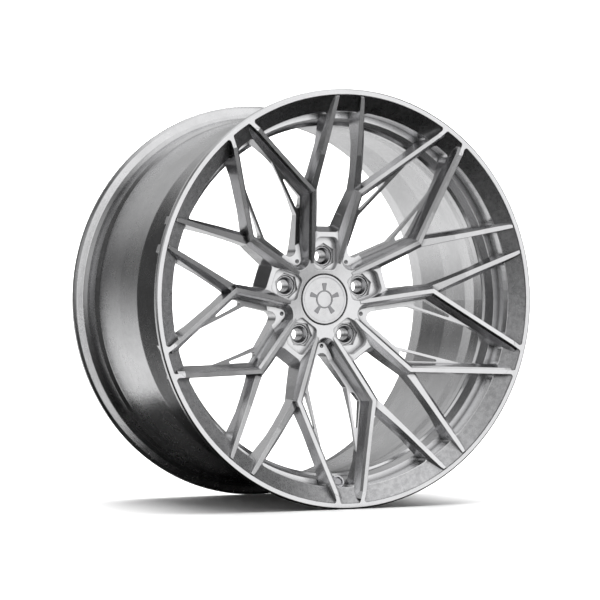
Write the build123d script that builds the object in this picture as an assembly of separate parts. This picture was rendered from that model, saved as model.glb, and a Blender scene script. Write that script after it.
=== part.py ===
from build123d import *
import math
import os

# A forged 20 x 11 road-racing wheel, offset +40, 5 x 114.3.
# The script works in wheel coordinates: Z is the axle, positive towards the outside face,
# z = 0 at the outer lip, and a stud hole sits on +Y. Every part is turned at the end so that
# the axle lies on Y with the outside face towards -Y and the wheel's centre at the origin.
# All lengths are millimetres.

RIM_R = 271.3            # flange radius of a 20 inch J rim
WIDTH = 299.0            # over both flanges
SEAT_R = 253.8           # bead seat
PCD = 114.3
STUDS = 5
STUD_HOLE_R = 8.0
HUB_BORE_R = 36.55
PAD_Z = -109.5           # mounting face
SEAM_Z = -66.0           # where the forged face meets the barrel, in the drop centre

# spoke crown lines: height as a function of radius
CROWN_SLOPE = 0.355
CROWN_R = 251.8          # the long Y ridges run level from here out to the lip
BLADE_R = 262.1          # the short blades run down from here
BLADE_KINK_R = 190.0
BLADE_INNER_SLOPE = 0.41
WEB_SLOPE = 0.43         # lower web between and beside the ridges
WEB_R = 276.3
FLOOR_Z = -84.1          # floor of the V pockets round the hub
LAND_Z = -67.8           # pad around the stud holes

# ridge section, measured across the ridge from the edge on the stud side
LAND_W = 5.3
EDGE_W = 8.4
EDGE_DROP = 2.85
SIDE_W = 12.8
FOOT_W = 13.8
FOOT_DRAFT = 1.9

POCKET_R = 243.6         # wall of the window pockets at the rim
LEDGE_Z = -38.0

# one spoke family in plan, stud hole direction on +Y
KNEE = (31.2, 141.5)
ROOT = (16.2, 48.0)
TIP = (136.5, 222.4)
LIP_FLAT_R = 264.5
TIP_FILLET = 4.0

VALVE_R = 238.5
VALVE_TILT = 25.0


def crown(r):
    return min(0.0, -CROWN_SLOPE * (CROWN_R - r))


def blade(r):
    if r > BLADE_KINK_R:
        return -CROWN_SLOPE * (BLADE_R - r)
    kink = -CROWN_SLOPE * (BLADE_R - BLADE_KINK_R)
    return kink - BLADE_INNER_SLOPE * (BLADE_KINK_R - r)


def web(r):
    return max(FLOOR_Z, -WEB_SLOPE * (WEB_R - r))


BACK = [(60, -109.5), (75, -109.5), (77, -107.5), (98, -93.6), (122, -78.7), (145, -63.8),
        (168, -50.8), (190, -42.5), (214, -35.2), (236, -38.0), (262, -38.0)]


def back(r):
    for (r0, z0), (r1, z1) in zip(BACK, BACK[1:]):
        if r <= r1:
            return z0 + (z1 - z0) * max(0.0, (r - r0)) / (r1 - r0)
    return BACK[-1][1]


# ---------------------------------------------------------------- helpers

def rounded_edges(points, radii, place):
    """Edges of a closed polygon with the corners rounded, mapped into space by place()."""
    n = len(points)
    ends = []
    for i in range(n):
        p = Vector(*points[i])
        a = Vector(*points[i - 1]) - p
        b = Vector(*points[(i + 1) % n]) - p
        rad = radii[i] if isinstance(radii, (list, tuple)) else radii
        if rad <= 0:
            ends.append((p, None, p))
            continue
        half = math.radians(a.get_angle(b)) / 2
        cut = rad / math.tan(half)
        start = p + a.normalized() * cut
        stop = p + b.normalized() * cut
        mid = (a.normalized() + b.normalized()).normalized()
        centre = p + mid * (rad / math.sin(half))
        ends.append((start, centre - mid * rad, stop))
    edges = []
    for i in range(n):
        start, middle, stop = ends[i]
        if middle is not None:
            edges.append(Edge.make_three_point_arc(place(start), place(middle), place(stop)))
        after = ends[(i + 1) % n][0]
        if (after - stop).length > 1e-6:
            edges.append(Edge.make_line(place(stop), place(after)))
    return edges


def turned(points, radii=0):
    """A ring or disc turned from an (r, z) section."""
    edges = rounded_edges(points, radii, lambda v: (v.X, 0, v.Y))
    return revolve(Face(Wire(edges)), axis=Axis.Z, revolution_arc=360)


def plan_face(points, radii, z):
    return Face(Wire(rounded_edges(points, radii, lambda v: (v.X, v.Y, z))))


def slab(points, radii, z0, z1):
    """A vertical block over a plan outline, from z0 up to z1."""
    return extrude(plan_face(points, radii, z0), amount=z1 - z0, dir=(0, 0, 1))


def hull(stations):
    """A straight-sided bar through polygon stations, each a list of 3-D points."""
    bars = []
    for one, two in zip(stations, stations[1:]):
        faces = [Face(Wire.make_polygon(ring, close=True)) for ring in (one, two)]
        bars.append(loft(faces, ruled=True))
    bar = bars[0]
    for more in bars[1:]:
        bar = bar + more
    return bar


def radius(p):
    return math.hypot(p[0], p[1])


def offset_point(p, normal, by):
    return (p[0] + normal[0] * by, p[1] + normal[1] * by)


def unit(a, b):
    d = (b[0] - a[0], b[1] - a[1])
    m = math.hypot(*d)
    return (d[0] / m, d[1] / m)


def right_of(d):
    return (d[1], -d[0])


def five(solid):
    return [solid.rotate(Axis.Z, 72 * i) for i in range(STUDS)]


def ten(solid):
    return five(solid) + five(solid.mirror(Plane.YZ))


RUN_M = unit(ROOT, KNEE)
RUN_S = unit(KNEE, TIP)
NORM_M = right_of(RUN_M)
NORM_S = right_of(RUN_S)
MITRE = (NORM_M[0] + NORM_S[0], NORM_M[1] + NORM_S[1])
MITRE_K = 1.0 / (1 + NORM_M[0] * NORM_S[0] + NORM_M[1] * NORM_S[1])


def knee_at(by):
    return (KNEE[0] + MITRE[0] * MITRE_K * by, KNEE[1] + MITRE[1] * MITRE_K * by)


def along(base, run, t):
    return (base[0] + run[0] * t, base[1] + run[1] * t)


# ---------------------------------------------------------------- forged face

def ridge_ring(at, centre_r, left, z_left):
    """Section of the main ridge; at(by) gives the plan point a distance across it."""
    land = crown(centre_r)
    p, q, e = at(0), at(LAND_W), at(EDGE_W)
    s, f, b = at(SIDE_W), at(FOOT_W), at(left - FOOT_DRAFT)
    lo = at(left)
    side = min(web(radius(s)) - 0.4, land - EDGE_DROP - 1.0)
    ring = [(b[0], b[1], back(radius(b)) + 0.2), (lo[0], lo[1], z_left)]
    if left < -0.5:
        ring.append((p[0], p[1], land))
    ring += [(q[0], q[1], land), (e[0], e[1], land - EDGE_DROP)]
    ring += [(s[0], s[1], side), (f[0], f[1], back(radius(f)) + 0.2)]
    return ring


def main_ridge():
    """Hub to knee: a flat land with a bevel down to the stud window on one side."""
    rings = []
    for t, left in ((0.0, -6.8), (22.0, -6.6), (56.0, -6.2), (76.0, -5.6)):
        base = along(ROOT, RUN_M, t)
        at = lambda by, base=base: offset_point(base, NORM_M, by)
        r = radius(at(LAND_W / 2))
        rings.append(ridge_ring(at, r, left, min(blade(radius(at(left))), LAND_Z + 0.5 * t - 3)))
    r = radius(knee_at(LAND_W / 2))
    rings.append(ridge_ring(knee_at, r, -4.4, blade(radius(knee_at(-4.4)))))
    return hull(rings)


def long_spoke():
    """Knee to lip: the same land carried on out, flush with the lip at its end."""
    rings = []
    r = radius(knee_at(LAND_W / 2))
    rings.append(ridge_ring(knee_at, r, 0.0, crown(r)))
    length = math.hypot(TIP[0] - KNEE[0], TIP[1] - KNEE[1])
    level = 0.0
    for t in range(1, 200):
        if radius(along(KNEE, RUN_S, length * t / 200)) < CROWN_R:
            level = length * t / 200
    for t in (0.35 * level, 0.7 * level, level, length):
        base = along(KNEE, RUN_S, t)
        at = lambda by, base=base: offset_point(base, NORM_S, by)
        r = radius(at(LAND_W / 2))
        rings.append(ridge_ring(at, r, 0.0, crown(r)))
    return hull(rings)


# short blade: plan x of the stud-side edge, the far edge of its land, and its shoulder
BLADE = [(261.6, 15.6, 19.6, 22.6, 3.6),
         (257.0, 15.9, 21.2, 23.9, 4.6),
         (242.5, 17.1, 23.2, 26.4, 5.2),
         (203.5, 21.1, 27.4, 32.6, 5.8),
         (187.2, 22.8, 29.6, 35.1, 6.6),
         (164.4, 25.1, 33.1, 38.4, 7.6),
         (142.0, 26.9, 37.0, 41.9, 7.9)]


def short_blade():
    rings = []
    for y, xa, xb, xc, drop in BLADE:
        top = blade(math.hypot(xa, y))
        low = back(math.hypot(xb, y)) + 0.2
        rings.append([(xa - FOOT_DRAFT, y, low), (xa, y, top), (xb, y, top),
                      (xc, y, top - drop), (xc + 1.0, y, low)])
    return hull(rings)


def tip_flare():
    """Rounded junctions where the long spokes run into the lip."""
    left = reach(KNEE, RUN_S, LIP_FLAT_R)
    right = reach(offset_point(KNEE, NORM_S, LAND_W), RUN_S, LIP_FLAT_R)

    def beside(corner, by, out):
        angle = math.atan2(corner[1], corner[0]) + by / LIP_FLAT_R
        r = LIP_FLAT_R + out
        return (r * math.cos(angle), r * math.sin(angle))

    outline = [along(left, RUN_S, -14.0), left, beside(left, 9.0, 0), beside(left, 9.0, 2.5),
               beside(right, -7.0, 2.5), beside(right, -7.0, 0), right, along(right, RUN_S, -10.0)]
    return slab(outline, [0, TIP_FILLET, 0, 0, 0, 0, TIP_FILLET, 0], -16.0, 0.0)


def arc_points(r, a0, a1, count):
    """Points on a circle; angles in degrees clockwise from +Y."""
    out = []
    for i in range(count):
        a = math.radians(a0 + (a1 - a0) * i / (count - 1))
        out.append((r * math.sin(a), r * math.cos(a)))
    return out


def cross(p, d, q, e):
    """Where the line p + t d meets q + s e."""
    det = d[0] * -e[1] + e[0] * d[1]
    t = ((q[0] - p[0]) * -e[1] + e[0] * (q[1] - p[1])) / det
    return (p[0] + d[0] * t, p[1] + d[1] * t)


def reach(p, d, r):
    """Where the line p + t d crosses the circle of radius r, going outwards."""
    b = p[0] * d[0] + p[1] * d[1]
    c = p[0] ** 2 + p[1] ** 2 - r * r
    t = -b + math.sqrt(b * b - c)
    return (p[0] + d[0] * t, p[1] + d[1] * t)


def polar_of(p):
    return math.degrees(math.atan2(p[0], p[1]))


def mirror_pts(points):
    return [(-x, y) for x, y in reversed(points)]


def mirror_36(points):
    """Reflect plan points in the line midway between two stud directions."""
    a = math.radians(72)
    c, s = math.cos(a), math.sin(a)
    return [(-x * c + y * s, x * s + y * c) for x, y in reversed(points)]


def triangle_window(r_out):
    left_d = unit((38.4, 164.4), (26.4, 242.5))
    left_p = (36.9, 164.4)
    right_p = offset_point(KNEE, NORM_S, 1.6)
    low = cross(left_p, left_d, right_p, RUN_S)
    a = reach(left_p, left_d, r_out)
    b = reach(right_p, RUN_S, r_out)
    arc = arc_points(r_out, polar_of(a), polar_of(b), 9)
    return [low] + arc, [4.0] + [5.5] + [0] * 7 + [6.0]


def stud_window(r_out, inner):
    a0, a1 = (25.6, 172.0), (18.4, 242.5)
    d = unit(a0, a1)
    top = reach(a0, d, r_out)
    arc = arc_points(r_out, 0, polar_of(top), 3)
    half = arc + [(26.9, 148.0), (26.6, 138.0), (17.4, inner)]
    pts = half + mirror_pts(half[1:])
    radii = [0, 0, 6.0, 30.0, 30.0, 6.0]
    return pts, radii + list(reversed(radii[1:]))


def strut_line():
    return (46.1, 111.2), unit((46.1, 111.2), (95.8, 174.2))


def between_window(r_out):
    edge_p = (37.4, 59.7)
    edge_d = unit((0, 0), (0.165, 1.0))
    sp, sd = strut_line()
    wall_p = offset_point(KNEE, NORM_S, 12.4)
    axis = unit((0, 0), (math.sin(math.radians(36)), math.cos(math.radians(36))))
    low = cross(edge_p, edge_d, (0, 0), axis)
    bend = cross(edge_p, edge_d, sp, sd)
    meet = cross(sp, sd, wall_p, RUN_S)
    top = reach(wall_p, RUN_S, r_out)
    arc = arc_points(r_out, polar_of(top), 36, 2)
    half = [bend, meet] + arc
    pts = [low] + half + mirror_36(half[:-1])
    radii = [8.6, 3.0, 25.0, 6.0]
    return pts, radii + [0] + list(reversed(radii[1:]))


def knee_window():
    m_p = offset_point(ROOT, NORM_M, FOOT_W + 0.4)
    s_p = offset_point(KNEE, NORM_S, FOOT_W + 0.4)
    sp, sd = strut_line()
    inner_p = offset_point(sp, right_of(sd), -3.7)
    one = cross(m_p, RUN_M, s_p, RUN_S)
    two = cross(s_p, RUN_S, inner_p, sd)
    three = cross(inner_p, sd, m_p, RUN_M)
    return [one, two, three], [3.5, 1.5, 3.4]


def face_blank():
    """The turned blank: lip, textured band, ledge, bead seat, drop centre and hub web."""
    section = [(30.0, FLOOR_Z), (80.7, FLOOR_Z), (230.0, web(230.0)), (240.0, web(240.0) - 0.4),
               (244.4, -13.6), (263.6, -1.4), (264.0, 0.0), (269.6, 0.0), (RIM_R, -1.7),
               (RIM_R, -7.0), (268.6, -11.4), (259.5, -13.4), (SEAT_R, -18.0), (252.2, -33.0),
               (253.6, -37.5), (251.6, -41.0), (233.3, -60.0), (233.3, SEAM_Z),
               (227.9, SEAM_Z), (227.9, -54.8), (231.7, -52.6), (235.9, LEDGE_Z - 1.6),
               (235.9, LEDGE_Z), (214.0, -35.2), (190.0, -42.5), (168.0, -50.8), (145.0, -63.8),
               (122.0, -78.7), (98.0, -93.6), (77.0, -107.5), (75.0, PAD_Z), (30.0, PAD_Z)]
    rounds = [0, 0, 0, 0, 0, 0.5, 0.3, 0.9, 0.9, 2.5, 3.0, 3.0, 5.0, 3.0, 2.0, 2.0, 6.0, 0, 0,
              1.5, 0.5, 0.8, 0, 0, 0, 0, 0, 0, 0, 1.5, 1.0, 0]
    return turned(section, rounds)


def stud_pad_outline():
    half = [(20.5, 40.0), (20.5, 70.0), (18.6, 98.0)]
    return half + mirror_pts(half)


def hub_top():
    """Raised hub: a shallow cone with pads out to the stud windows."""
    dish = turned([(30.0, -88.0), (30.0, -76.3), (71.0, LAND_Z), (110.0, LAND_Z), (110.0, -88.0)])
    plan = Pos(0, 0, -90) * Cylinder(66.0, 40, align=(Align.CENTER, Align.CENTER, Align.MIN))
    plan = plan + five(slab(stud_pad_outline(), 0, -90.0, -50.0))
    top = dish & plan
    return top


def v_pocket():
    """Tapered pocket between two ridges, cut in the hub top only."""
    axis = (math.sin(math.radians(36)), math.cos(math.radians(36)))
    faces = []
    for by, z in ((LAND_W - 0.9, LAND_Z + 2.0), (SIDE_W + 0.5, FLOOR_Z - 0.02)):
        p = offset_point(ROOT, NORM_M, by)
        low = cross(p, RUN_M, (0, 0), axis)
        out = along(p, RUN_M, 80.0)
        pts = [low, out] + mirror_36([out])
        faces.append(plan_face(pts, [15.5 if by < SIDE_W else 7.5, 0, 0], z))
    return loft(faces, ruled=True)


def stud_end():
    """The sloping inner end of a stud window."""
    top = [(-16.9, 88.4), (16.9, 88.4), (20.0, 112.0), (-20.0, 112.0)]
    low = [(-15.6, 98.4), (15.6, 98.4), (18.0, 116.0), (-18.0, 116.0)]
    faces = [plan_face(top, [6.0, 6.0, 0, 0], LAND_Z + 0.5), plan_face(low, [6.0, 6.0, 0, 0], -95.0)]
    return loft(faces, ruled=True)


def stud_pocket():
    outline = [(-13.6, 38.6), (13.6, 38.6), (18.3, 48.5), (17.9, 66.0), (15.6, 82.2),
               (-15.6, 82.2), (-17.9, 66.0), (-18.3, 48.5)]
    wide = slab(outline, [6, 6, 9, 14, 9, 9, 14, 9], -78.6, -50.0)
    hexa = extrude(Pos(0, PCD / 2, -82.2) * RegularPolygon(17.2, 6, rotation=30), amount=12)
    ring = Pos(0, PCD / 2, -85.0) * Cylinder(13.6, 12, align=(Align.CENTER, Align.CENTER, Align.MIN))
    seat = Pos(0, PCD / 2, -100.0) * Cylinder(11.2, 30, align=(Align.CENTER, Align.CENTER, Align.MIN))
    through = Pos(0, PCD / 2, -120.0) * Cylinder(STUD_HOLE_R, 60, align=(Align.CENTER, Align.CENTER, Align.MIN))
    return wide + hexa + ring + seat + through


def dimple():
    a = math.radians(36)
    r = 61.5
    drill = turned([(0, -50), (2.7, -50), (2.7, FLOOR_Z - 1.6), (0, FLOOR_Z - 3.2)])
    return Pos(r * math.sin(a), r * math.cos(a), 0) * drill


def centre_bore():
    return turned([(0, -60.0), (34.4, -60.0), (34.4, -75.6), (33.7, -76.3), (33.7, -81.0), (31.0, -81.0),
                   (31.0, -92.6), (31.7, -93.2), (31.7, -96.0), (HUB_BORE_R, -96.0),
                   (HUB_BORE_R, -108.5), (HUB_BORE_R + 1.0, -109.5), (HUB_BORE_R + 1.0, -120), (0, -120)])


def valve_place(shape):
    """Put a part modelled along +Z (towards the tyre side) on the tilted valve axis."""
    t = math.radians(VALVE_TILT)
    plane = Plane(origin=(0, -VALVE_R, LEDGE_Z), x_dir=(1, 0, 0), z_dir=(0, -math.sin(t), -math.cos(t)))
    return plane.location * shape


def up(r, z0, z1):
    return Pos(0, 0, z0) * Cylinder(r, z1 - z0, align=(Align.CENTER, Align.CENTER, Align.MIN))


def valve_cuts():
    return valve_place(up(9.6, -14.0, 6.0) + up(5.75, 5.0, 12.0) + up(9.2, 9.5, 22.0))


def build_face():
    body = face_blank()
    cuts = []
    for shape, copies in ((triangle_window, ten), (between_window, five)):
        cuts += copies(slab(*shape(POCKET_R), LEDGE_Z, 5.0))
        cuts += copies(slab(*shape(214.0), -118.0, LEDGE_Z + 1.0))
    cuts += five(slab(*stud_window(POCKET_R, 97.0), LEDGE_Z, 5.0))
    cuts += five(slab(*stud_window(214.0, 97.0), -118.0, LEDGE_Z + 1.0))
    cuts += ten(slab(*knee_window(), -118.0, 5.0))
    body = body - cuts
    top = hub_top() - five(v_pocket())
    body = body + top
    ridges = []
    for ridge in (main_ridge(), long_spoke(), short_blade(), tip_flare()):
        ridges += ten(ridge)
    body = body + ridges
    holes = five(stud_pocket()) + five(stud_end()) + five(dimple()) + [centre_bore(), valve_cuts()]
    return body - holes


# ---------------------------------------------------------------- barrel

def build_barrel():
    section = [(227.9, SEAM_Z), (233.3, SEAM_Z), (233.3, -79.0), (246.9, -122.9), (248.6, -180.0),
               (249.4, -250.0), (253.4, -257.5), (252.2, -262.0), (SEAT_R, -280.5), (259.0, -285.5),
               (268.6, -287.5), (RIM_R, -291.0), (RIM_R, -296.5), (268.2, -WIDTH), (262.0, -298.0),
               (252.6, -295.0), (249.6, -284.0), (243.6, -250.0), (242.6, -180.0), (238.9, -119.4),
               (227.9, -77.0)]
    rounds = [0, 0, 12.0, 10.0, 0, 4.0, 2.0, 2.0, 4.0, 4.0, 3.0, 2.0, 2.2, 2.0, 4.0,
              8.0, 20.0, 20.0, 0, 14.0, 8.0]
    return turned(section, rounds)


def build_seam_weld():
    """Bead in the drop centre over the joint between face and barrel."""
    z = SEAM_Z
    return turned([(233.3, z - 3.4), (234.0, z - 3.0), (234.9, z - 1.4), (235.1, z), (234.9, z + 1.4),
                   (234.0, z + 3.0), (233.3, z + 3.4)])


# ---------------------------------------------------------------- stud seats

def build_stud_seats():
    """Pressed-in steel seats: a stepped flange, a 60 degree cone and a plain bore."""
    section = [(STUD_HOLE_R, -100.0), (11.2, -100.0), (11.2, -85.0), (13.4, -85.0), (13.4, -83.9),
               (12.5, -83.4), (12.5, -84.3), (11.6, -84.3), (11.6, -83.8), (11.2, -83.8),
               (STUD_HOLE_R, -89.4)]
    seat = Pos(0, PCD / 2, 0) * turned(section)
    return {"lug_seat_%d" % (i + 1): one for i, one in enumerate(five(seat))}


# ---------------------------------------------------------------- centre cap

CAP_Z = -75.4


def build_cap():
    skirt = turned([(0, CAP_Z - 1.2), (32.4, CAP_Z - 1.2), (33.4, CAP_Z - 2.2), (33.4, CAP_Z - 5.3),
                    (30.6, CAP_Z - 5.4), (30.6, -91.5), (27.8, -91.5), (27.8, CAP_Z - 6.0), (0, CAP_Z - 4.2)],
                   [0, 0, 0.4, 0.3, 0, 0.3, 0.3, 1.0, 0])
    slots = []
    for i in range(8):
        slots.append((Pos(29.5, 0, -88.0) * Box(8.0, 3.0, 12.0)).rotate(Axis.Z, 22.5 + 45 * i))
    cap = skirt - slots
    groove = turned([(27.0, -88.9), (28.7, -88.9), (28.7, -90.5), (27.0, -90.5)])
    cap = cap - groove
    disc = turned([(0, CAP_Z - 1.2), (32.4, CAP_Z - 1.2), (32.4, CAP_Z - 0.5), (31.9, CAP_Z), (29.4, CAP_Z),
                   (29.0, CAP_Z - 0.4), (0, CAP_Z - 0.4)])
    emblem = build_emblem()
    wire = turned([(27.05, -89.7 - 0.75), (28.55, -89.7 - 0.75), (28.55, -89.7 + 0.75), (27.05, -89.7 + 0.75)], 0.6)
    wire = wire - (Pos(-28.0, 0, -89.7) * Box(6.0, 5.0, 4.0))
    return {"centre_cap_body": cap, "centre_cap_disc": disc, "centre_cap_emblem": emblem,
            "centre_cap_spring_ring": wire}


def build_emblem():
    """A plain motif: a thin ring joined to five short bars."""
    z0, z1 = CAP_Z - 0.4, CAP_Z + 0.3
    ring = turned([(10.2, z0), (12.0, z0), (12.0, z1), (10.2, z1)])
    bars = []
    for i in range(5):
        bar = slab([(-1.5, 11.0), (1.5, 11.0), (3.4, 21.5), (-3.4, 21.5)], [0, 0, 0.8, 0.8], z0, z1)
        bars.append(bar.rotate(Axis.Z, 72 * i))
    return ring + bars


# ---------------------------------------------------------------- valve
# Modelled along its own axis: 0 is the ledge, positive towards the tyre side.

THREAD_R = 3.85


def build_valve():
    parts = {}
    stem = turned([(2.3, -0.3), (THREAD_R, -0.3), (THREAD_R, 2.4), (4.3, 2.4), (4.3, 11.3), (8.2, 11.3),
                   (8.2, 12.6), (7.4, 13.3), (1.6, 13.3), (1.6, 11.0), (2.3, 11.0)])
    parts["valve_stem"] = stem
    parts["valve_grommet"] = turned([(4.3, 7.4), (5.7, 7.4), (5.7, 9.5), (8.4, 9.5), (8.4, 11.3), (4.3, 11.3)])
    parts["valve_washer"] = turned([(4.3, 5.0), (8.8, 5.0), (8.8, 6.0), (4.3, 6.0)])
    nut = turned([(4.3, 2.6), (6.2, 2.6), (6.2, -2.7), (6.5, -3.0), (8.2, -3.0), (8.7, -2.5), (8.7, 5.0), (4.3, 5.0)])
    slots = []
    for i in range(4):
        slots.append((Pos(7.6, 0, -2.4) * Box(3.4, 1.6, 1.6)).rotate(Axis.Z, 45 + 90 * i))
    parts["valve_nut"] = nut - slots
    parts["valve_core_body"] = turned([(0.82, 0.6), (2.3, 0.6), (2.3, 7.2), (0.82, 7.2), (0.82, 6.4),
                                       (1.75, 6.4), (1.75, 1.6), (0.82, 1.6)])
    parts["valve_core_pin"] = turned([(0, 0.2), (0.76, 0.2), (0.76, 1.9), (1.4, 1.9), (1.4, 2.2), (0.76, 2.2),
                                      (0.76, 7.9), (1.9, 7.9), (1.9, 8.8), (0, 8.8)])
    parts["valve_core_washer"] = turned([(0.76, 7.2), (1.8, 7.2), (1.8, 7.9), (0.76, 7.9)])
    turns, coil_r, wire_r = 4, 1.25, 0.2
    z0, z1 = 3.9, 6.4 - wire_r
    helix = Helix((z1 - z0) / turns, z1 - z0, coil_r, center=(0, 0, z0))
    parts["valve_core_spring"] = sweep(Plane(helix @ 0, z_dir=helix % 0) * Circle(wire_r), path=helix,
                                       is_frenet=True)
    cap = turned([(0, -2.0), (4.4, -2.0), (4.7, -1.7), (4.7, 2.2), (THREAD_R + 0.03, 2.2),
                  (THREAD_R + 0.03, -0.9), (0, -0.9)])
    flutes = []
    for i in range(12):
        flutes.append((Pos(5.05, 0, 0.2) * Cylinder(0.55, 5.0)).rotate(Axis.Z, 30 * i))
    parts["valve_cap"] = cap - flutes
    parts["valve_cap_seal"] = turned([(2.4, -0.9), (3.7, -0.9), (3.7, -0.4), (2.4, -0.4)])
    return {name: valve_place(part) for name, part in parts.items()}


# ---------------------------------------------------------------- output

def to_row_frame(shape):
    """Axle along Y, outside face towards -Y, origin at the middle of the wheel."""
    return shape.moved(Location((0, 0, WIDTH / 2))).rotate(Axis.X, 90)


def main():
    os.makedirs("parts", exist_ok=True)
    parts = {"face_forging": build_face(), "barrel": build_barrel(), "seam_weld": build_seam_weld()}
    parts.update(build_stud_seats())
    parts.update(build_cap())
    parts.update(build_valve())
    for name, shape in parts.items():
        solid = to_row_frame(shape)
        solid.label = name
        export_step(solid, "parts/%s.step" % name)
        print(name, "%.0f mm3" % solid.volume, len(solid.solids()), "solid(s)")


main()
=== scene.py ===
"""Forged road wheel: finishes, stage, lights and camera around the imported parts."""
import math

import bpy
from bpy.props import FloatProperty, FloatVectorProperty, PointerProperty
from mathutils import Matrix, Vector


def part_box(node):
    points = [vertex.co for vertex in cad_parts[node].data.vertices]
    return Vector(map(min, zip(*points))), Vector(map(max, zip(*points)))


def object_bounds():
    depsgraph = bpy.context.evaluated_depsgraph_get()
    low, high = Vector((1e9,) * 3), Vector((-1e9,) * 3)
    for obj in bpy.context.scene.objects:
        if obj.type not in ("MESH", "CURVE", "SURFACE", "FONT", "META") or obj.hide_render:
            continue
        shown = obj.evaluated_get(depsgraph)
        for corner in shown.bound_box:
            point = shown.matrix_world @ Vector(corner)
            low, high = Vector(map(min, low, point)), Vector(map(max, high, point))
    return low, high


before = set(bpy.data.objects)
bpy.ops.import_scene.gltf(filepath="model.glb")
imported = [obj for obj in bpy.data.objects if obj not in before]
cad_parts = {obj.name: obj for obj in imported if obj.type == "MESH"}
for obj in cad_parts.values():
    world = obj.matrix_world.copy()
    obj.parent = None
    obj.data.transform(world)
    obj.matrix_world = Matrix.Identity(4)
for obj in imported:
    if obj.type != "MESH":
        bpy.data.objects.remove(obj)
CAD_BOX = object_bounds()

bl_info = {
    "name": "Forged wheel finishes",
    "version": (1, 0, 0),
    "blender": (4, 5, 0),
    "location": "3D View > Sidebar > Wheel",
    "description": "Metal, rubber and plastic finishes for a forged wheel, with a pale studio",
    "category": "Object",
}

# Turned features of the wheel, in metres, axle along Y.
LIP_Y = CAD_BOX[0].y               # plane of the outer lip
BAND_INNER_R, BAND_OUTER_R = 0.2444, 0.2636
BAND_INNER_Y, BAND_OUTER_Y = LIP_Y + 0.0136, LIP_Y + 0.0014
BAND_FADE = 0.0004                 # how far the blasted band fades at its inner and outer edge
STUDS = 5
WELD_RIPPLES = 240.0               # ripples round the seam
CAP_Y = LIP_Y + 0.0754
AXLE = (0.0, 1.0, 0.0)
VALVE_POINT = (0.0, -0.1115, -0.2385)
VALVE_AXIS = (0.0, 0.90631, -0.42262)

# Colours and sizes that several finishes share.
PAINTED_EDGE_HIGHLIGHT = (0.93, 0.93, 0.94)     # aluminium lightened along edges: painted highlight
PAINTED_CORNER_SHADE = (0.05, 0.05, 0.05)          # painted shade in the corners
ALUMINIUM_BUMP = 0.00025           # heights of bump, in metres
WELD_BUMP = 0.0003
TURNED_BUMP = 0.00012
GRAIN_BUMP = 0.0001
SMALL_EDGE, TINY_EDGE = 0.0004, 0.0002   # edge break of small pieces, and of the valve's

# Studio, in metres.
FLOOR_FRONT, FLOOR_CURVE, CURVE_RADIUS, CURVE_STEPS = -12.0, 3.0, 3.0, 12
WALL_TOP, FLOOR_HALF_WIDTH = 12.0, 14.0
SHADED_FLOOR_STAND_IN = (-0.30, 0.50, -0.15, 0.40)   # dark sheet on the floor, painted shade that stands in for the floor in shadow as the metal reflects it: x from and to, y from and to
SHADED_FLOOR_STAND_IN_LIFT = 0.0005

# Lights: name, place, point each looks at, width and height, and the setting that holds its power.
LAMPS = (("overhead_softbox", (0.3, 0.35, 2.6), (0.0, 0.0, 0.0), 3.2, 3.2, "overhead"),
         ("backdrop_softbox", (0.0, 2.6, 3.4), (0.0, 7.0, 1.0), 9.0, 2.0, "backdrop"))

# Panels seen in the metal: direction, cosine where each starts, cosine where it is full, strength.
PANELS = (((0.20, -0.95, 0.22), 0.60, 0.92, 1.00),
          ((-0.05, 0.86, -0.50), 0.70, 0.95, 0.85),
          ((0.00, 0.80, 0.60), 0.80, 0.97, 0.45),
          ((0.10, -0.10, 1.00), 0.70, 0.96, 0.90),
          ((1.00, -0.05, 0.10), 0.80, 0.97, 0.30),
          ((-0.85, -0.35, 0.30), 0.86, 0.98, 0.40))

# Camera.
CAMERA_AT = (-1.4203, -2.9121, -0.0235)
CAMERA_WAY = (0.4384, 0.8988, 0.0071)
SENSOR_MM, LENS_MM = 36.0, 144.43


# ---------------------------------------------------------------- shader maths

class Wire:
    """One node output. Arithmetic on it adds the Math or Vector Math nodes that work it out."""

    def __init__(self, net, socket):
        self.net = net
        self.socket = socket

    def _math(self, operation, *values):
        return self.net.node("ShaderNodeMath", {"operation": operation}, list(values))

    def __add__(self, other):
        return self._math("ADD", self, other)

    __radd__ = __add__

    def __sub__(self, other):
        return self._math("SUBTRACT", self, other)

    def __rsub__(self, other):
        return self._math("SUBTRACT", other, self)

    def __mul__(self, other):
        return self._math("MULTIPLY", self, other)

    def __truediv__(self, other):
        return self._math("DIVIDE", self, other)

    def __pow__(self, other):
        return self._math("POWER", self, other)

    def __abs__(self):
        return self._math("ABSOLUTE", self)

    def most(self, other):
        return self._math("MAXIMUM", self, other)

    def dot(self, other):
        """Dot product of two vectors."""
        return self.net.node("ShaderNodeVectorMath", {"operation": "DOT_PRODUCT"}, [self, other], 1)

    def ramp(self, low, high, to_low=0.0, to_high=1.0):
        """Smooth step from to_low at low to to_high at high."""
        return self.net.node("ShaderNodeMapRange", {"interpolation_type": "SMOOTHSTEP"},
                             {"Value": self, "From Min": low, "From Max": high,
                              "To Min": to_low, "To Max": to_high})


class Net:
    """Adds nodes to one tree."""

    def __init__(self, tree):
        self.tree = tree

    def node(self, kind, settings, inputs, output=0):
        """Adds a node: its settings first, then the values or links of its sockets."""
        made = self.tree.nodes.new(kind)
        for key, value in settings.items():
            setattr(made, key, value)
        pairs = inputs.items() if isinstance(inputs, dict) else enumerate(inputs)
        for key, value in pairs:
            if isinstance(value, Wire):
                self.tree.links.new(value.socket, made.inputs[key])
            else:
                made.inputs[key].default_value = value
        return Wire(self, made.outputs[output])


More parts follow.
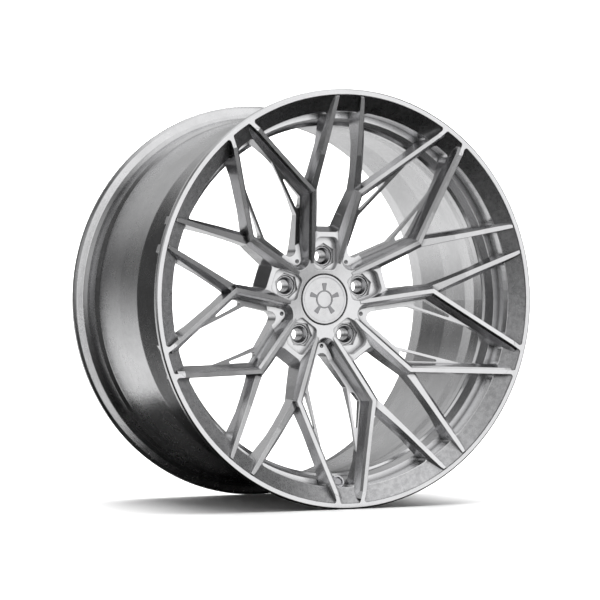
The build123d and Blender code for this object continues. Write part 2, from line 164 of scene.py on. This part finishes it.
class Paint(Net):
    """Builds one material's nodes."""

    def __init__(self, name, base, metallic, roughness):
        self.material = bpy.data.materials.new(name)
        self.material.use_nodes = True
        super().__init__(self.material.node_tree)
        self.shader = self.tree.nodes["Principled BSDF"]
        self.set("Base Color", (*base, 1.0))
        self.set("Metallic", metallic)
        self.set("Roughness", roughness)
        self.place = self.node("ShaderNodeTexCoord", {}, {}, "Object")
        split = self.tree.nodes.new("ShaderNodeSeparateXYZ")
        self.tree.links.new(self.place.socket, split.inputs[0])
        self.x, self.y, self.z = (Wire(self, split.outputs[i]) for i in range(3))

    def set(self, socket, value):
        """Sets or links one socket of the surface shader."""
        if isinstance(value, Wire):
            self.tree.links.new(value.socket, self.shader.inputs[socket])
        else:
            self.shader.inputs[socket].default_value = value

    def radius(self):
        """Distance from the axle."""
        return (self.x * self.x + self.z * self.z) ** 0.5

    def vector(self, x, y, z):
        return self.node("ShaderNodeCombineXYZ", {}, [x, y, z])

    def noise(self, vector, scale, detail=2.0, rough=0.5, w=None):
        """Cloud pattern between 0 and 1. With w, a fourth coordinate."""
        inputs = {"Vector": vector, "Scale": scale, "Detail": detail, "Roughness": rough}
        if w is None:
            return self.node("ShaderNodeTexNoise", {}, inputs)
        inputs["W"] = w
        return self.node("ShaderNodeTexNoise", {"noise_dimensions": "4D"}, inputs)

    def mix(self, mask, a, b):
        """Colour a where the mask is 0, colour b where it is 1."""
        made = self.tree.nodes.new("ShaderNodeMix")
        made.data_type = "RGBA"
        for index, value in ((0, mask), (6, a), (7, b)):
            if isinstance(value, Wire):
                self.tree.links.new(value.socket, made.inputs[index])
            else:
                made.inputs[index].default_value = (*value, 1.0)
        return Wire(self, made.outputs[2])

    def edge(self, width):
        """Shader normal rounded over edges, and a mask that is 1 on them."""
        soft = self.node("ShaderNodeBevel", {"samples": 6}, {"Radius": width})
        flat = self.node("ShaderNodeNewGeometry", {}, {}, "Normal")
        return soft, soft.dot(flat).ramp(0.995, 0.90)

    def painted_crease_shade(self, reach, darkest):
        """Factor from ambient occlusion that falls from 1 in the open to darkest inside corners; it drives
        painted shade.
        """
        open_sky = self.node("ShaderNodeAmbientOcclusion", {"samples": 6}, {"Distance": reach}, 1)
        return open_sky.ramp(0.35, 0.95, darkest, 1.0)

    def paint_corner_shade(self, factor, colour):
        """The colour, which turns to painted shade as the factor falls to 0."""
        return self.mix(factor, PAINTED_CORNER_SHADE, colour)

    def bump(self, height, strength, distance, normal=None):
        """Relief of the surface, over the rounded normal if there is one."""
        inputs = {"Height": height, "Strength": strength, "Distance": distance}
        if normal is not None:
            inputs["Normal"] = normal
        self.set("Normal", self.node("ShaderNodeBump", {}, inputs))


def turning_marks(paint, fine, coarse):
    """Lathe lines round the axle: a fine grain and broader bands, with no seam."""
    r = paint.radius()
    around = paint.vector(paint.x / r, 0.0, paint.z / r)
    path = r + paint.y
    grain = paint.noise(around, 7.0, 3.0, 0.6, w=path * fine)
    bands = paint.noise(around, 1.5, 1.0, 0.5, w=path * coarse)
    return grain, bands


def scaled(colour, factor):
    return tuple(c * factor for c in colour)


def brighter(colour, factor, lift):
    return tuple(min(1.0, c * factor + lift) for c in colour)


def dress(node, material):
    """Gives one CAD piece its finish."""
    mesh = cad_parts[node].data
    mesh.materials.clear()
    mesh.materials.append(material)


def machined_face(looks):
    """Satin milled aluminium with fine turning lines, and a coarse blasted band inside the lip."""
    p = Paint("machined_aluminium", looks.metal, 1.0, looks.roughness)
    r = p.radius()
    grain, bands = turning_marks(p, 1400.0, 160.0)
    cloud = p.noise(p.place, 38.0, 3.0, 0.55)
    streak = p.noise(p.vector(p.x * 520.0, p.y * 520.0, p.z * 26.0), 1.0, 2.0, 0.6)
    slope = (BAND_INNER_Y - BAND_OUTER_Y) / (BAND_OUTER_R - BAND_INNER_R)
    depth = abs(p.y - BAND_OUTER_Y - (BAND_OUTER_R - r) * slope)
    band = depth.ramp(0.0006, 0.0002) * r.ramp(BAND_INNER_R - BAND_FADE, BAND_INNER_R)
    band = band * r.ramp(BAND_OUTER_R + BAND_FADE, BAND_OUTER_R)
    pebble = p.noise(p.place, 620.0, 3.0, 0.7)
    patch = p.noise(p.place, 160.0, 3.0, 0.6)
    soft, edge = p.edge(looks.edge)
    tone = p.mix(cloud.ramp(0.3, 0.7), scaled(looks.metal, 0.93), looks.metal)
    tone = p.mix(streak.ramp(0.45, 0.8) * 0.25, tone, scaled(looks.metal, 0.86))
    tone = p.mix(band * patch.ramp(0.3, 0.7, 0.45, 0.9), tone, looks.band)
    # Painted highlight: the colour is lightened along edges.
    tone = p.mix(edge * 0.6 * (1 - band), tone, PAINTED_EDGE_HIGHLIGHT)
    # Painted shade: the colour darkens inside corners and creases, following ambient occlusion.
    p.set("Base Color", p.paint_corner_shade(p.painted_crease_shade(0.008, 0.35), tone))
    rough = looks.roughness + (cloud - 0.5) * 0.10 + (grain - 0.5) * 0.10
    rough = rough + band * (0.07 + (pebble - 0.5) * 0.25) - edge * 0.06
    p.set("Roughness", rough)
    height = (grain - 0.5) * 0.35 + (bands - 0.5) * 0.25 + (streak - 0.5) * 0.3
    height = height * (1 - band) + band * (pebble - 0.5) * 1.1 + band * (patch - 0.5) * 0.5
    p.bump(height, looks.grain, ALUMINIUM_BUMP, soft)
    return p.material


def spun_barrel(looks):
    """Turned aluminium: lines round the axle, cloudy sheen, light handling scratches."""
    p = Paint("spun_aluminium", looks.metal, 1.0, looks.roughness)
    grain, bands = turning_marks(p, 1100.0, 120.0)
    cloud = p.noise(p.place, 22.0, 4.0, 0.6)
    mottle = p.noise(p.place, 140.0, 3.0, 0.65)
    slanted = p.vector(p.x * 60.0 + p.y * 900.0, p.y * 900.0 - p.z * 60.0, p.z * 90.0)
    scratch = p.noise(slanted, 1.0, 2.0, 0.6)
    soft, edge = p.edge(looks.edge)
    tone = p.mix(cloud.ramp(0.3, 0.7), scaled(looks.metal, 0.84), scaled(looks.metal, 0.98))
    tone = p.mix(scratch.ramp(0.62, 0.75) * 0.3, tone, (0.92, 0.92, 0.92))
    # Painted highlight: the colour is lightened along edges.
    tone = p.mix(edge * 0.3, tone, PAINTED_EDGE_HIGHLIGHT)
    # Painted shade: the colour darkens inside corners and creases, following ambient occlusion.
    p.set("Base Color", p.paint_corner_shade(p.painted_crease_shade(0.008, 0.4), tone))
    rough = looks.roughness + 0.02 + (cloud - 0.5) * 0.16 + (mottle - 0.5) * 0.14
    p.set("Roughness", rough - edge * 0.06)
    height = (grain - 0.5) * 0.5 + (bands - 0.5) * 0.4 + (mottle - 0.5) * 0.25
    height = height + scratch.ramp(0.6, 0.8) * 0.2
    p.bump(height, looks.grain, ALUMINIUM_BUMP, soft)
    return p.material


def weld_bead(looks):
    """Close ripples laid round the seam, brighter on their crests."""
    p = Paint("weld_aluminium", (0.62, 0.62, 0.63), 1.0, 0.36)
    angle = p.node("ShaderNodeMath", {"operation": "ARCTAN2"}, [p.x, p.z])
    wobble = p.noise(p.place, 120.0, 2.0)
    turn = (angle * WELD_RIPPLES + wobble * 2.0) * (1.0 / math.tau)
    step = p.node("ShaderNodeMath", {"operation": "FRACT"}, [turn])
    ripple = 1 - (step * 2 - 1) ** 2.0
    p.set("Base Color", p.mix(ripple, (0.60, 0.60, 0.60), (0.76, 0.76, 0.77)))
    p.set("Roughness", 0.44 - ripple * 0.16)
    p.bump(ripple + wobble * 0.4, 0.35, WELD_BUMP)
    return p.material


def turned_piece(name, base, roughness, centre, axis, lines=3200.0, depth=0.2,
                 edge_width=SMALL_EDGE):
    """A small lathe-turned piece: rings about its own axis through centre."""
    p = Paint(name, base, 1.0, roughness)
    offset = p.node("ShaderNodeVectorMath", {"operation": "SUBTRACT"}, [p.place, centre])
    along = offset.dot(axis)
    reach = p.node("ShaderNodeVectorMath", {"operation": "LENGTH"}, [offset], 1)
    r = (reach * reach - along * along).most(0.0) ** 0.5
    rings = p.noise(p.vector(r * lines, along * lines, 0.0), 1.0, 2.0, 0.6)
    cloud = p.noise(p.place, 300.0, 3.0, 0.6)
    soft, edge = p.edge(edge_width)
    tone = p.mix(cloud.ramp(0.3, 0.7), scaled(base, 0.85), base)
    # Painted highlight: the colour is lightened along edges.
    tone = p.mix(edge * 0.5, tone, brighter(base, 1.18, 0.05))
    p.set("Base Color", tone)
    p.set("Roughness", roughness + (rings - 0.5) * 0.16 + (cloud - 0.5) * 0.12)
    p.bump(rings + cloud * 0.4, depth, TURNED_BUMP, soft)
    return p.material


def blasted_piece(name, base, roughness, metallic, grit=1500.0, depth=0.25,
                  edge_width=SMALL_EDGE):
    """Fine even grain with a soft cloud: blasted metal, or moulded plastic and rubber."""
    p = Paint(name, base, metallic, roughness)
    pores = p.noise(p.place, grit, 2.0, 0.6)
    cloud = p.noise(p.place, 90.0, 3.0, 0.6)
    soft, edge = p.edge(edge_width)
    tone = p.mix(cloud.ramp(0.3, 0.7), scaled(base, 0.88), base)
    # Painted highlight: the colour is lightened along edges.
    tone = p.mix(edge * 0.4, tone, brighter(base, 1.15, 0.04))
    p.set("Base Color", tone)
    p.set("Roughness", roughness + (pores - 0.5) * 0.14 + (cloud - 0.5) * 0.10)
    p.bump(pores + cloud * 0.3, depth, GRAIN_BUMP, soft)
    return p.material


# ---------------------------------------------------------------- settings

class WheelLooks(bpy.types.PropertyGroup):
    metal: FloatVectorProperty(name="Metal", description="Bare aluminium colour", subtype="COLOR",
                               default=(0.80, 0.80, 0.81), min=0.0, max=1.0)
    band: FloatVectorProperty(name="Band", description="Blasted band inside the lip", subtype="COLOR",
                              default=(0.42, 0.42, 0.43), min=0.0, max=1.0)
    roughness: FloatProperty(name="Roughness", description="Spread of the metal's reflections",
                             default=0.23, min=0.0, max=1.0)
    grain: FloatProperty(name="Grain", description="Strength of machining marks",
                         default=0.35, min=0.0, max=1.0)
    edge: FloatProperty(name="Edge break", description="Width of the softened edges",
                        default=0.0007, min=0.0, unit="LENGTH")


class StudioLooks(bpy.types.PropertyGroup):
    floor: FloatVectorProperty(name="Floor", description="Floor colour", subtype="COLOR",
                               default=(0.78, 0.78, 0.78), min=0.0, max=1.0)
    overhead: FloatProperty(name="Overhead light", description="Power of the ceiling softbox",
                            default=250.0, unit="POWER")
    backdrop: FloatProperty(name="Backdrop light", description="Power of the softbox on the backdrop",
                            default=700.0, unit="POWER")
    room: FloatProperty(name="Room", description="Brightness of the panels seen in the metal", default=1.0)
    dim: FloatProperty(name="Room corners", description="Brightness between the panels", default=0.055)


# ---------------------------------------------------------------- pieces

class WHEEL_OT_face(bpy.types.Operator):
    """Finish the forged face"""
    bl_idname = "wheel.face"
    bl_label = "Forged face"

    def execute(self, context):
        dress("face_forging", machined_face(context.scene.wheel_looks))
        return {"FINISHED"}


class WHEEL_OT_barrel(bpy.types.Operator):
    """Finish the barrel and its seam weld"""
    bl_idname = "wheel.barrel"
    bl_label = "Barrel and seam"

    def execute(self, context):
        looks = context.scene.wheel_looks
        dress("barrel", spun_barrel(looks))
        dress("seam_weld", weld_bead(looks))
        return {"FINISHED"}


class WHEEL_OT_lug_seats(bpy.types.Operator):
    """Finish the pressed-in steel seats of the stud holes"""
    bl_idname = "wheel.lug_seats"
    bl_label = "Lug seats"

    def execute(self, context):
        for i in range(1, STUDS + 1):
            low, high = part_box("lug_seat_%d" % i)
            centre = tuple((low + high) / 2)
            dress("lug_seat_%d" % i,
                  turned_piece("seat_steel_%d" % i, (0.66, 0.66, 0.67), 0.24, centre, AXLE))
        return {"FINISHED"}


class WHEEL_OT_centre_cap(bpy.types.Operator):
    """Finish the snap-in centre cap"""
    bl_idname = "wheel.centre_cap"
    bl_label = "Centre cap"

    def execute(self, context):
        blasted = (("centre_cap_body", "cap_plastic", (0.035, 0.035, 0.036), 0.5, 0.0, 1500.0, 0.25),
                   ("centre_cap_disc", "cap_aluminium", (0.80, 0.80, 0.81), 0.30, 1.0, 1800.0, 0.15),
                   ("centre_cap_emblem", "emblem_chrome", (0.30, 0.30, 0.31), 0.12, 1.0, 900.0, 0.05))
        for node, name, base, rough, metallic, grit, depth in blasted:
            dress(node, blasted_piece(name, base, rough, metallic, grit, depth))
        dress("centre_cap_spring_ring",
              turned_piece("spring_steel", (0.42, 0.42, 0.44), 0.3, (0.0, CAP_Y, 0.0), AXLE))
        return {"FINISHED"}


class WHEEL_OT_valve(bpy.types.Operator):
    """Finish the tyre valve's pieces"""
    bl_idname = "wheel.valve"
    bl_label = "Tyre valve"

    def execute(self, context):
        turned = (("valve_stem", "valve_aluminium", (0.70, 0.70, 0.72), 0.28),
                  ("valve_nut", "valve_nut_aluminium", (0.74, 0.74, 0.76), 0.26),
                  ("valve_washer", "valve_steel", (0.60, 0.60, 0.62), 0.30),
                  ("valve_cap", "valve_cap_metal", (0.50, 0.50, 0.52), 0.30),
                  ("valve_core_body", "core_brass", (0.72, 0.56, 0.30), 0.28),
                  ("valve_core_pin", "core_pin_brass", (0.74, 0.60, 0.34), 0.22),
                  ("valve_core_spring", "valve_spring_steel", (0.48, 0.48, 0.50), 0.25))
        for node, name, base, rough in turned:
            dress(node, turned_piece(name, base, rough, VALVE_POINT, VALVE_AXIS, 6000.0, 0.15, TINY_EDGE))
        for node in ("valve_grommet", "valve_core_washer", "valve_cap_seal"):
            dress(node, blasted_piece(node + "_rubber", (0.025, 0.025, 0.026), 0.6, 0.0,
                                      2500.0, 0.3, TINY_EDGE))
        return {"FINISHED"}


# ---------------------------------------------------------------- studio

def staged(name, data):
    """A new object in the scene."""
    made = bpy.data.objects.new(name, data)
    bpy.context.scene.collection.objects.link(made)
    return made


def softbox(name, where, aim, width, height, power):
    """A rectangular light that neither the camera nor the metal sees."""
    light = bpy.data.lights.new(name, "AREA")
    light.shape = "RECTANGLE"
    light.size, light.size_y = width, height
    light.energy = power
    made = staged(name, light)
    made.location = where
    made.rotation_euler = (Vector(aim) - Vector(where)).to_track_quat("-Z", "Y").to_euler()
    made.visible_camera = False
    made.visible_glossy = False


class WHEEL_OT_stage(bpy.types.Operator):
    """Floor, soft lights and camera"""
    bl_idname = "wheel.stage"
    bl_label = "Studio"

    def execute(self, context):
        studio = context.scene.studio_looks
        self.floor(studio)
        self.room(studio)
        for name, where, aim, width, height, power in LAMPS:
            softbox(name, where, aim, width, height, getattr(studio, power))
        self.camera(context)
        context.scene.view_settings.view_transform = "Standard"
        return {"FINISHED"}

    def floor(self, studio):
        """A pale floor that curves up behind the wheel."""
        low = CAD_BOX[0].z
        profile = [(FLOOR_FRONT, low), (FLOOR_CURVE, low)]
        for i in range(1, CURVE_STEPS + 1):
            a = math.pi / 2 * i / CURVE_STEPS
            profile.append((FLOOR_CURVE + CURVE_RADIUS * math.sin(a),
                            low + CURVE_RADIUS - CURVE_RADIUS * math.cos(a)))
        profile.append((FLOOR_CURVE + CURVE_RADIUS, low + WALL_TOP))
        mesh = bpy.data.meshes.new("floor")
        points = [(x, y, z) for y, z in profile for x in (-FLOOR_HALF_WIDTH, FLOOR_HALF_WIDTH)]
        faces = [(2 * i, 2 * i + 1, 2 * i + 3, 2 * i + 2) for i in range(len(profile) - 1)]
        mesh.from_pydata(points, [], faces)
        mesh.polygons.foreach_set("use_smooth", [True] * len(faces))
        made = staged("floor", mesh)
        self.shaded_floor_stand_in(low)
        p = Paint("pale_floor", tuple(studio.floor), 0.0, 0.85)
        speck = p.noise(p.place, 60.0, 3.0, 0.6)
        p.set("Base Color", p.mix(speck, scaled(studio.floor, 0.985), tuple(studio.floor)))
        mesh.materials.append(p.material)
        made.visible_glossy = False

    def shaded_floor_stand_in(self, low):
        """A black sheet on the floor under the barrel that only the metal's reflections see: painted shade
        standing in for the floor in shadow.
        """
        mesh = bpy.data.meshes.new("black_card")
        x0, x1, y0, y1 = SHADED_FLOOR_STAND_IN
        z = low + SHADED_FLOOR_STAND_IN_LIFT
        mesh.from_pydata([(x0, y0, z), (x1, y0, z), (x1, y1, z), (x0, y1, z)], [], [(0, 1, 2, 3)])
        made = staged("black_card", mesh)
        mesh.materials.append(Paint("card_black", (0.01, 0.01, 0.01), 0.0, 0.9).material)
        made.visible_camera = False
        made.visible_diffuse = False
        made.visible_shadow = False

    def room(self, studio):
        """Broad soft panels round the wheel as its metal reflects them, over a dark floor line."""
        world = bpy.data.worlds.new("room")
        bpy.context.scene.world = world
        world.use_nodes = True
        way = Net(world.node_tree).node("ShaderNodeTexCoord", {}, {}, "Generated")
        total = studio.dim
        for aim, low, high, strength in PANELS:
            facing = way.dot(tuple(Vector(aim).normalized()))
            total = total + facing.ramp(low, high) * strength
        height = way.dot((0.0, 0.0, 1.0))
        total = total * height.ramp(-0.80, -0.30, 0.03, 1.0) * studio.room
        background = world.node_tree.nodes["Background"]
        world.node_tree.links.new(total.socket, background.inputs["Strength"])
        background.inputs["Color"].default_value = (1.0, 1.0, 1.0, 1.0)

    def camera(self, context):
        data = bpy.data.cameras.new("camera")
        data.sensor_width, data.lens = SENSOR_MM, LENS_MM
        made = staged("camera", data)
        made.location = CAMERA_AT
        made.rotation_mode = "QUATERNION"
        made.rotation_quaternion = Vector(CAMERA_WAY).to_track_quat("-Z", "Y")
        context.scene.camera = made


class WHEEL_PT_panel(bpy.types.Panel):
    """Wheel finishes and studio"""
    bl_label = "Forged wheel"
    bl_idname = "WHEEL_PT_panel"
    bl_space_type = "VIEW_3D"
    bl_region_type = "UI"
    bl_category = "Wheel"

    def draw(self, context):
        for group in (context.scene.wheel_looks, context.scene.studio_looks):
            for key in group.bl_rna.properties.keys():
                if key not in ("rna_type", "name"):
                    self.layout.prop(group, key)
        for operator in STEPS:
            self.layout.operator(operator.bl_idname)


STEPS = (WHEEL_OT_face, WHEEL_OT_barrel, WHEEL_OT_lug_seats, WHEEL_OT_centre_cap, WHEEL_OT_valve,
         WHEEL_OT_stage)
CLASSES = (WheelLooks, StudioLooks) + STEPS + (WHEEL_PT_panel,)


def register():
    for made in CLASSES:
        bpy.utils.register_class(made)
    bpy.types.Scene.wheel_looks = PointerProperty(type=WheelLooks)
    bpy.types.Scene.studio_looks = PointerProperty(type=StudioLooks)


def unregister():
    del bpy.types.Scene.studio_looks
    del bpy.types.Scene.wheel_looks
    for made in reversed(CLASSES):
        bpy.utils.unregister_class(made)


def main():
    register()
    bpy.ops.wheel.face()
    bpy.ops.wheel.barrel()
    bpy.ops.wheel.lug_seats()
    bpy.ops.wheel.centre_cap()
    bpy.ops.wheel.valve()
    bpy.ops.wheel.stage()


if __name__ == "__main__":
    main()
